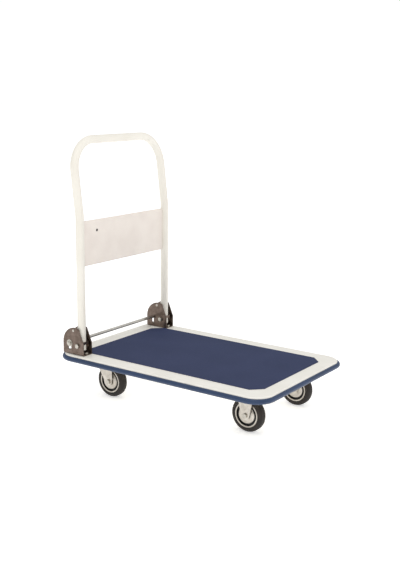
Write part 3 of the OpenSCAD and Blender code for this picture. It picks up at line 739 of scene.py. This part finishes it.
# %% Lugs
lug_low, lug_high = box_mm("handle_lug_left")
lug_t = 2.5
lug_front = lug_high.x - pivot.x
lug_fold = Fold((lug_high.y - lug_low.y) / 2, lug_t, 1.2)
cheek = [(10, -13), (-13, -13), (-19, 0), (-33, 24), (-33, 26.5), (-12, 26.5), (8, 14)]
side = ([(lug_fold.flat, 3)] + [(lug_fold.reach(lug_front - x), z) for x, z in cheek]
        + [(lug_fold.flat, 11)])
lug_outline = oriented(mirrored(side), 1)
keeper = oriented([(-33, -12.4), (-12.7, -12.4), (-12.7, 12.4), (-33, 12.4)], 1)
pin_hole = oriented(arc((-25, 0), 4.5, 0, 345, 23), -1)
tab_z = 25.25                                    # middle of the tab above the pivot


def lug_place(y):
    def place(u, v, n, lift):
        across, depth = lug_fold.bend(u, n)
        return pivot.x + lug_front - depth, y + across, pivot.z + v
    return place


for side, y in both_sides:
    wrap = plate(rounded(lug_outline, 1.5, 2), lug_t, edge=0.4, cuts=lug_fold.lines(),
                 place=lug_place(y))
    tab = plate(keeper, lug_t, [pin_hole], 0.3,
                place=lambda u, v, n, lift: (pivot.x + u, y + v, pivot.z + tab_z + n))
    piece(f"handle_lug_{side}_folded", "handle", [wrap, tab], bracket_zinc,
          [f"handle_lug_{side}"])

# %% [markdown]
# ## Release bar, washers, caps and springs
# The bar is chamfered at its ends and carries a washer and a pushed-on domed cap outside each
# bracket. The return springs are helices, so the sweep tree makes them from a path. They ride on
# the deck.

# %% Bar, washers and caps
half = box_mm("release_rod")[1].y
rod_r = 5
rod_outline = [(0, -half), (rod_r - 0.6, -half), (rod_r, -half + 0.6), (rod_r, half - 0.6),
               (rod_r - 0.6, half), (0, half)]
piece("release_bar_drawn", "release_bar", [turned(rod_outline, bar, steps=32)], rod_steel,
      ["release_rod"])
cap_high = box_mm("rod_caps")[1].y
inner = min(abs(v.co.y) for v in frame["nodes"]["rod_washers"].data.vertices) / MM
washer = rounded([(rod_r + 0.05, inner), (11, inner), (11, inner + 1.8), (rod_r + 0.05, inner + 1.8)],
                 0.35, 2)
start = inner + 1.85
dome = [(7 * math.cos(math.radians(a)), cap_high - 2.6 + 2.6 * math.sin(math.radians(a)))
        for a in range(0, 91, 10)]
cap = ([(rod_r + 0.02, start), (7, start)] + dome[:-1]
       + [(0, cap_high), (0, cap_high - 1), (rod_r, cap_high - 2)])
heart = Vector((bar.x, 0, bar.z))
for name, profile, node in (("bar_washers", washer, "rod_washers"), ("bar_end_caps", cap, "rod_caps")):
    piece(name, "release_bar", [turned(profile, heart, steps=40, flip=s) for s in (1, -1)],
          fastener_zinc, [node])


# %% Return springs
def helix(y, low, high, radius, turns, steps=20):
    count = turns * steps
    return [(bar.x + radius * math.cos(2 * math.pi * k / steps),
             y + radius * math.sin(2 * math.pi * k / steps), low + (high - low) * k / count)
            for k in range(count + 1)]


wire, coil_r, coil_turns = 1.2, 5.5, 5
for side, y in both_sides:
    low, high = box_mm(f"rod_spring_{side}")
    coil = helix(y, low.z + wire / 2, high.z - wire / 2, coil_r, coil_turns)
    mesh = swept(coil, wire, 10, True, dark_steel)
    spring = settle(f"return_spring_{side}", "chassis", mesh, dark_steel,
                    [f"rod_spring_{side}"])
    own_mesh(spring)

# %% [markdown]
# ## Fork helpers
# Both kinds of fork are a U of sheet hung from its web. Their legs narrow to a round end at the
# axle and have a panel pressed outwards, whose slopes draw the bright V lines on the legs.


# %% Fork maker
def touch(p, r, side):
    """Where a tangent from p meets a circle about the origin."""
    a = math.atan2(p[1], p[0]) + side * math.acos(r / math.hypot(*p))
    return (r * math.cos(a), r * math.sin(a))


def degrees_of(p):
    return math.degrees(math.atan2(p[1], p[0]))


fork_t, fork_half = 2.5, 20                      # sheet, and half the fork's outer width
ramp, rise = 3.6, 1.3                            # of the panel pressed into each leg
plate_bolts = [(i * 37, j * 26) for i in (1, -1) for j in (1, -1)]


def fork(edge, panel, axle, top):
    """U of sheet from a leg's outline (x, z) about the axle. top is the web's outer face."""
    fold = Fold(fork_half, fork_t, 1.5)
    height = top - axle.z
    side = [(fold.reach(height - z) if z < height - 4 else fold.flat, x) for x, z in edge]
    outline = oriented(mirrored(side), 1)
    flat_panels = [oriented([(s * fold.reach(height - z), x) for x, z in panel], 1) for s in (1, -1)]
    cuts = fold.lines() + [c for p in flat_panels for c in panel_lines(p, ramp)]

    def place(u, v, n, lift):
        out = max(pressed((u, v), p, ramp) for p in flat_panels) * rise
        across, depth = fold.bend(u, n - out)
        return axle.x + v, axle.y + across, top - depth
    return plate(outline, fork_t, edge=0.5, cuts=cuts, place=place)


def corner_plate(centre, low, high):
    """Caster top plate: a rectangle with round corners and four bolt holes."""
    outline = rounded([(-45, -33), (45, -33), (45, 33), (-45, 33)], 6, 5)
    bores = [oriented(arc(spot, 4.05, 0, 345, 23), -1) for spot in plate_bolts]
    middle_z, thickness = (low + high) / 2, high - low
    return plate(oriented(outline, 1), thickness, bores, 0.4,
                 place=lambda u, v, n, lift: (centre[0] + u, centre[1] + v, middle_z + n))


# %% Rigid forks
end_r = 13.5
plate_top = box_mm("rigid_fork_left")[1].z
plate_z = plate_top - fork_t
for side in sides:
    axle = wheels[f"front_{side}"]
    top = plate_z - axle.z
    right, left = touch((29, top), end_r, -1), touch((-29, top), end_r, 1)
    end = arc((0, 0), end_r, degrees_of(right), degrees_of(left) % 360 - 360, 18)
    edge = [(29, top), *end, (-29, top)]
    panel = [(-20, top - 5), (-16, 36), (0, end_r + 1), (16, 36), (20, top - 5)]
    legs = fork(edge, panel, axle, plate_z)
    piece(f"rigid_fork_{side}_pressed", "chassis", [legs, corner_plate(axle, plate_z, plate_top)],
          caster_zinc, [f"rigid_fork_{side}"])

# %% [markdown]
# ## Swivel heads
# A swivel caster hangs from a plate with a ball race pressed into it. The fork's crown is a
# shallow dish that carries the other race and a lip against dust. Both are turned shapes.

# %% Swivel plates and forks
trail, crown_t, dust_lip = 25, 3, 7
crown_z = box_mm("swivel_fork_left")[1].z - dust_lip
for side in sides:
    axle = wheels[f"rear_{side}"]
    centre = (axle.x - trail, axle.y, 0)
    race = rounded([(18, crown_z + 9.4), (28, crown_z + 9.4), (28, plate_z + 0.2), (18, plate_z + 0.2)],
                   [0, 1.6, 0, 0], 4)
    piece(f"swivel_plate_{side}_pressed", "chassis",
          [corner_plate(centre, plate_z, plate_top), turned(race, centre, "Z", 64)],
          caster_zinc, [f"swivel_plate_{side}"])
    top = crown_z + crown_t - axle.z
    corner = (-trail - 20, top - 10)
    low_point = touch(corner, end_r, 1)
    edge = ([(6, top), (end_r, top - 14)]
            + arc((0, 0), end_r, 0, degrees_of(low_point) % 360 - 360, 18) + [corner, (-trail - 22, top)])
    panel = [(-trail - 6, top - 6), (-trail - 5, top - 14), (-5, end_r + 3), (7, end_r + 6),
             (7, top - 16), (-1, top - 6)]
    legs = fork(edge, panel, axle, crown_z + crown_t)
    crown = rounded([(5.1, crown_z), (31, crown_z), (31, crown_z + dust_lip), (29.5, crown_z + dust_lip),
                     (29.5, crown_z + crown_t), (5.1, crown_z + crown_t)], [0, 2.2, 0.5, 0.5, 1, 0], 4)
    piece(f"swivel_fork_{side}_pressed", f"swivel_{side}", [legs, turned(crown, centre, "Z", 72)],
          caster_zinc, [f"swivel_fork_{side}"])

# %% [markdown]
# ## Wheels
# Everything on a wheel is turned about its axle: a round-shouldered tyre with two moulded lines,
# a black core with a deep groove, a bright ring at the tyre's bead and a dished zinc hub disc
# with shallow rings. One loop makes all four wheels.

# %% Wheel profiles
shoulder = 10
tread = arc((wheel_r - shoulder, tyre_half - shoulder), shoulder, 90, 0, 12)
line_y = tyre_half - shoulder - 1
tread = [(r, h) for r, h in tread] + [(wheel_r, line_y), (wheel_r - 0.5, line_y - 0.3),
                                      (wheel_r - 0.5, line_y - 0.9), (wheel_r, line_y - 1.2)]
wall_line = [(39.2, tyre_half), (38.8, tyre_half - 0.3), (38.2, tyre_half - 0.3), (37.8, tyre_half)]
half_tyre = [(33.5, tyre_half - 2.5), (36.3, tyre_half - 2.5), (36.3, tyre_half - 0.4),
             (36.8, tyre_half)] + wall_line[::-1] + tread
tyre_profile = half_tyre + [(r, -h) for r, h in reversed(half_tyre)]
half_core = [(7.6, 16), (12, 16), (12, tyre_half - 4), (20.5, tyre_half - 4), (20.5, tyre_half - 6),
             (33.5, tyre_half - 6)]
core_profile = half_core + [(r, -h) for r, h in reversed(half_core)]
ring_profile = rounded([(32, 11.6), (36, 11.6), (36, 13.7), (32, 13.7)], [0.3, 0.3, 1.2, 1.2], 5)
disc_profile = rounded([(12.1, 10.1), (25.5, 10.1), (25.5, 11.4), (23.6, 13.2), (20.4, 13.2),
                        (20.0, 13.7), (17.0, 14.2), (16.4, 15.5), (12.1, 15.5)],
                       [0, 0, 0.6, 1.2, 0.3, 0.3, 0.4, 0.6, 0], 3)

# %% Four wheels
for place, centre in wheels.items():
    body = f"wheel_{place}"
    piece(f"tyre_{place}_moulded", body, [turned(tyre_profile, centre, steps=96)], tyre_rubber,
          [f"tyre_{place}"], sharp=50)
    piece(f"wheel_core_{place}_moulded", body, [turned(core_profile, centre)], core_black,
          [f"wheel_core_{place}"])
    trims = [turned(p, centre, flip=s) for p in (ring_profile, disc_profile) for s in (1, -1)]
    piece(f"wheel_trim_{place}_plated", body, trims, caster_zinc, [f"wheel_trim_{place}"])

# %% [markdown]
# ## Hexagon fasteners
# The cart is held together by hexagon bolts and nuts, which repeat, so a Geometry Nodes tree
# makes them. Each point carries the direction its head faces. The tree builds one hexagon, takes
# its corners off with a cone as a real head's are, adds the shank, and puts it on each point,
# turned by a random angle with a fixed seed.

# %% Tree: hexagon heads on points
hexes, given, result = tree_with("hexagon_fasteners",
                                 {"Points": "Geometry", "Across corners": "Float", "Height": "Float",
                                  "Shank": "Float", "Below": "Float", "Above": "Float",
                                  "Seed": "Int", "Finish": "Material"})


def maths(a, b, operation):
    return add(hexes, "ShaderNodeMath", {0: a, 1: b}, operation=operation).outputs[0]


def raised(shape, z):
    offset = add(hexes, "ShaderNodeCombineXYZ", {"Z": z})
    return add(hexes, "GeometryNodeTransform", {"Geometry": shape,
                                                "Translation": offset.outputs[0]}).outputs[0]


across, height = given.outputs["Across corners"], given.outputs["Height"]
prism = add(hexes, "GeometryNodeMeshCylinder", {"Vertices": 6, "Depth": height,
                                                "Radius": maths(across, 0.5, "MULTIPLY")})
top_r = maths(across, 0.41, "MULTIPLY")          # radius of the flat top, inside a 30 degree chamfer
cone = add(hexes, "GeometryNodeMeshCone",
           {"Vertices": 48, "Depth": maths(height, 2, "MULTIPLY"),
            "Radius Top": maths(top_r, maths(height, 0.866, "MULTIPLY"), "SUBTRACT"),
            "Radius Bottom": maths(top_r, maths(height, 2.6, "MULTIPLY"), "ADD")})
head = add(hexes, "GeometryNodeMeshBoolean",
           {"Mesh 2": raised(prism.outputs[0], maths(height, 0.5, "MULTIPLY"))},
           operation="INTERSECT", solver="EXACT")
hexes.links.new(raised(cone.outputs[0], maths(height, -0.5, "MULTIPLY")), head.inputs["Mesh 2"])
length = maths(maths(given.outputs["Below"], given.outputs["Above"], "ADD"), height, "ADD")
bolt = add(hexes, "GeometryNodeMeshCylinder", {"Vertices": 24, "Depth": length,
                                               "Radius": maths(given.outputs["Shank"], 0.5, "MULTIPLY")})
shank = raised(bolt.outputs[0], maths(maths(length, 0.5, "MULTIPLY"), given.outputs["Below"], "SUBTRACT"))
both = add(hexes, "GeometryNodeJoinGeometry", {"Geometry": head.outputs[0]})
hexes.links.new(shank, both.inputs[0])
way = add(hexes, "GeometryNodeInputNamedAttribute", {"Name": "way"}, data_type="FLOAT_VECTOR")
facing = add(hexes, "FunctionNodeAlignRotationToVector", {"Vector": way.outputs[0]}, axis="Z")
spin = add(hexes, "FunctionNodeRandomValue", {3: math.pi / 3, "Seed": given.outputs["Seed"]},
           data_type="FLOAT")                    # input 3 is the float's highest value
spun = add(hexes, "ShaderNodeCombineXYZ", {"Z": spin.outputs[1]})
placed = add(hexes, "GeometryNodeInstanceOnPoints", {"Points": given.outputs["Points"],
                                                     "Instance": both.outputs[0],
                                                     "Rotation": facing.outputs[0]})
turned_each = add(hexes, "GeometryNodeRotateInstances", {"Instances": placed.outputs[0],
                                                         "Rotation": spun.outputs[0]})
ended(hexes, result, turned_each.outputs[0], given.outputs["Finish"])

# %% Where the fasteners sit
HEAD, NUT, ACROSS, M8 = 5.3, 6.5, 15, 8          # heights, width over corners, shank
half_bracket = (ear_high.y - ear_low.y) / 2
plate_spots = [(x + dx, s * wheels["front_left"].y + dy)
               for x in (wheels["front_left"].x, wheels["rear_left"].x - trail)
               for s in (1, -1) for dx, dy in plate_bolts]
bracket_spots = [(x, s * upright_y) for x in (pivot.x + 14, bar.x - 19) for s in (1, -1)]
base_top = ear_low.z + ear_t
under = deck_z - sheet_t
channel_t = 2
channel_top = box_mm("front_channel")[0].z + channel_t


def on_axle(place, inside):
    """Point and direction on one face of a wheel's fork."""
    centre = wheels[place]
    s = math.copysign(1, centre.y) * (-1 if inside else 1)
    return (centre.x, centre.y + s * fork_half, centre.z), (0, s, 0)


def seats(spots, z, way):
    """The spots at one height, facing up for way 1 and down for way -1."""
    return [((x, y, z), (0, 0, way)) for x, y in spots]


def on_pivot(way):
    """The pivot's ends on the brackets: outer faces for way 1 and inner faces for way -1."""
    return [((pivot.x, s * (upright_y + way * half_bracket), pivot.z), (0, s * way, 0)) for s in (1, -1)]


# name: (body, CAD nodes, height, shank below the seat, spots with directions)
fasteners = {
    "caster_bolt_heads": ("chassis", ["caster_bolts"], HEAD, 12, seats(plate_spots, plate_z, -1)),
    "caster_bolt_nuts": ("chassis", ["caster_nuts"], NUT, 0, seats(plate_spots, channel_top, 1)),
    "bracket_bolt_heads": ("chassis", ["bracket_bolts"], HEAD, 8, seats(bracket_spots, base_top, 1)),
    "bracket_bolt_nuts": ("chassis", ["bracket_nuts"], NUT, 0, seats(bracket_spots, under, -1)),
    "pivot_bolt_heads": ("chassis", ["pivot_bolts"], HEAD, 2 * half_bracket, on_pivot(1)),
    "pivot_bolt_nuts": ("chassis", ["pivot_nuts"], NUT, 0, on_pivot(-1)),
    "front_axle_bolts": ("chassis", [f"axle_bolt_front_{s}" for s in sides], HEAD, 2 * fork_half,
                         [on_axle(f"front_{s}", False) for s in sides]),
    "front_axle_nuts_plated": ("chassis", ["front_axle_nuts"], NUT, 0,
                               [on_axle(f"front_{s}", True) for s in sides]),
}
for side in sides:
    body, place = f"swivel_{side}", f"rear_{side}"
    fasteners[f"rear_axle_bolt_{side}"] = (body, [f"axle_bolt_rear_{side}"], HEAD, 2 * fork_half,
                                           [on_axle(place, False)])
    fasteners[f"rear_axle_nut_{side}_plated"] = (body, [f"rear_axle_nut_{side}"], NUT, 0,
                                                 [on_axle(place, True)])

# %% Grow the fasteners
ABOVE = {HEAD: -2, NUT: 1}                       # a shank ends inside its head, and passes its nut
for seed, (name, (body, nodes, height, below, spots)) in enumerate(fasteners.items()):
    mesh = bpy.data.meshes.new(name)
    mesh.from_pydata([Vector(p) * MM for p, _ in spots], [], [])
    ways = mesh.attributes.new("way", "FLOAT_VECTOR", "POINT")
    for item, (_, direction) in zip(ways.data, spots):
        item.vector = direction
    made = grown(hexes, mesh, {"Across corners": ACROSS * MM, "Height": height * MM, "Shank": M8 * MM,
                               "Below": below * MM, "Above": ABOVE[height] * MM, "Seed": seed,
                               "Finish": fastener_zinc})
    settle(name, body, made, fastener_zinc, nodes)

# %% [markdown]
# ## CAD nodes that stay
# Some small or hidden parts have the right shape already: channels and ribs under the deck,
# sleeves, latch blocks, king pins, balls, stop pins and bushes. They keep their CAD mesh and get
# a finish in their material slots.

# %% Finishes for the remaining nodes
keep = [(deck_paint, ["front_channel", "rear_channel", "deck_ribs"]),
        (bronze, ["pivot_sleeves"] + [f"wheel_bush_{w}" for w in wheels]),
        (dark_steel, ["latch_block_left", "latch_block_right", "kingpins", "ball_rings"]),
        (fastener_zinc, ["stop_pins"])]
for material, names in keep:
    for name in names:
        node = frame["nodes"][name]
        node.data.materials.clear()
        node.data.materials.append(material)
kept = {name for _, names in keep for name in names}
left_over = [n for n, o in frame["nodes"].items() if not o.hide_render and n not in kept]
print("nodes without a finish:", left_over)

# %% [markdown]
# ## Floor, light and camera
# The cart stands on a plain pale floor under two soft lights, with a pale sky that is a little
# darker towards the horizon: plated metal only looks like metal when it has something uneven to
# reflect. The camera stands off the free end's right corner, a little higher than the handle.

# %% Floor
floor_mesh = bpy.data.meshes.new("floor")
far = 30
floor_mesh.from_pydata([(-far, -far, 0), (far, -far, 0), (far, far, 0), (-far, far, 0)], [],
                       [(0, 1, 2, 3)])
floor = linked("floor", floor_mesh)
light_table, parts = finish("light_table", "#FFFFFF", "#FBFBFB", 0.0, (0.7, 0.8), 900, 40, 0.01)
fill(parts["tree"], parts["shader"], {"Emission Color": (1, 1, 1, 1), "Emission Strength": 0.45})
floor_mesh.materials.append(light_table)

# %% Light
world = bpy.data.worlds.new("studio")
bpy.context.scene.world = world
world.use_nodes = True
tree = world.node_tree
where = add(tree, "ShaderNodeTexCoord").outputs["Generated"]
z = add(tree, "ShaderNodeSeparateXYZ", {"Vector": where}).outputs["Z"]
sky = add(tree, "ShaderNodeMapRange", {"Value": z, "From Min": 0.0, "From Max": 0.8,
                                       "To Min": 0.5, "To Max": 0.85})
seen = add(tree, "ShaderNodeLightPath").outputs["Is Camera Ray"]
strength = add(tree, "ShaderNodeMix", {"Factor": seen, "A": sky.outputs["Result"], "B": 1.02})
fill(tree, tree.nodes["Background"], {"Color": (1, 1, 1, 1), "Strength": strength.outputs["Result"]})


def softbox(name, spot, size, power):
    lamp = bpy.data.lights.new(name, "AREA")
    lamp.shape, lamp.size, lamp.size_y, lamp.energy = "RECTANGLE", *size, power
    obj = linked(name, lamp)
    obj.location = spot
    obj.rotation_euler = (Vector((0, 0, 0.35)) - Vector(spot)).to_track_quat("-Z", "Y").to_euler()


softbox("key", (0.6, -1.2, 2.6), (1.6, 1.2), 14)
softbox("fill", (2.4, 1.6, 1.6), (1.4, 1.4), 6)

# %% Camera
azimuth, elevation, roll_angle = (math.radians(a) for a in (35.07, 12.33, 0.556))
distance, shift_right, shift_up = 2.7066, -0.0016, 0.0529
focal, view_height, sensor = 911.2, 570, 36      # focal length in the units of the view's height
back = Vector((math.sin(azimuth) * math.cos(elevation), -math.cos(azimuth) * math.cos(elevation),
               math.sin(elevation)))
right = Vector((math.cos(azimuth), math.sin(azimuth), 0))
above = back.cross(right)
place = Vector((0, 0, 0.3)) + back * distance + right * shift_right + above * shift_up
across_view = right * math.cos(roll_angle) + above * math.sin(roll_angle)
up_view = above * math.cos(roll_angle) - right * math.sin(roll_angle)
camera = linked("camera", bpy.data.cameras.new("camera"))
turn = Matrix((across_view, up_view, back)).transposed().to_4x4()
camera.matrix_world = Matrix.Translation(place) @ turn
camera.data.lens, camera.data.sensor_width = sensor * focal / view_height, sensor
camera.data.clip_end = 100
bpy.context.scene.camera = camera
bpy.context.scene.view_settings.view_transform = "Standard"
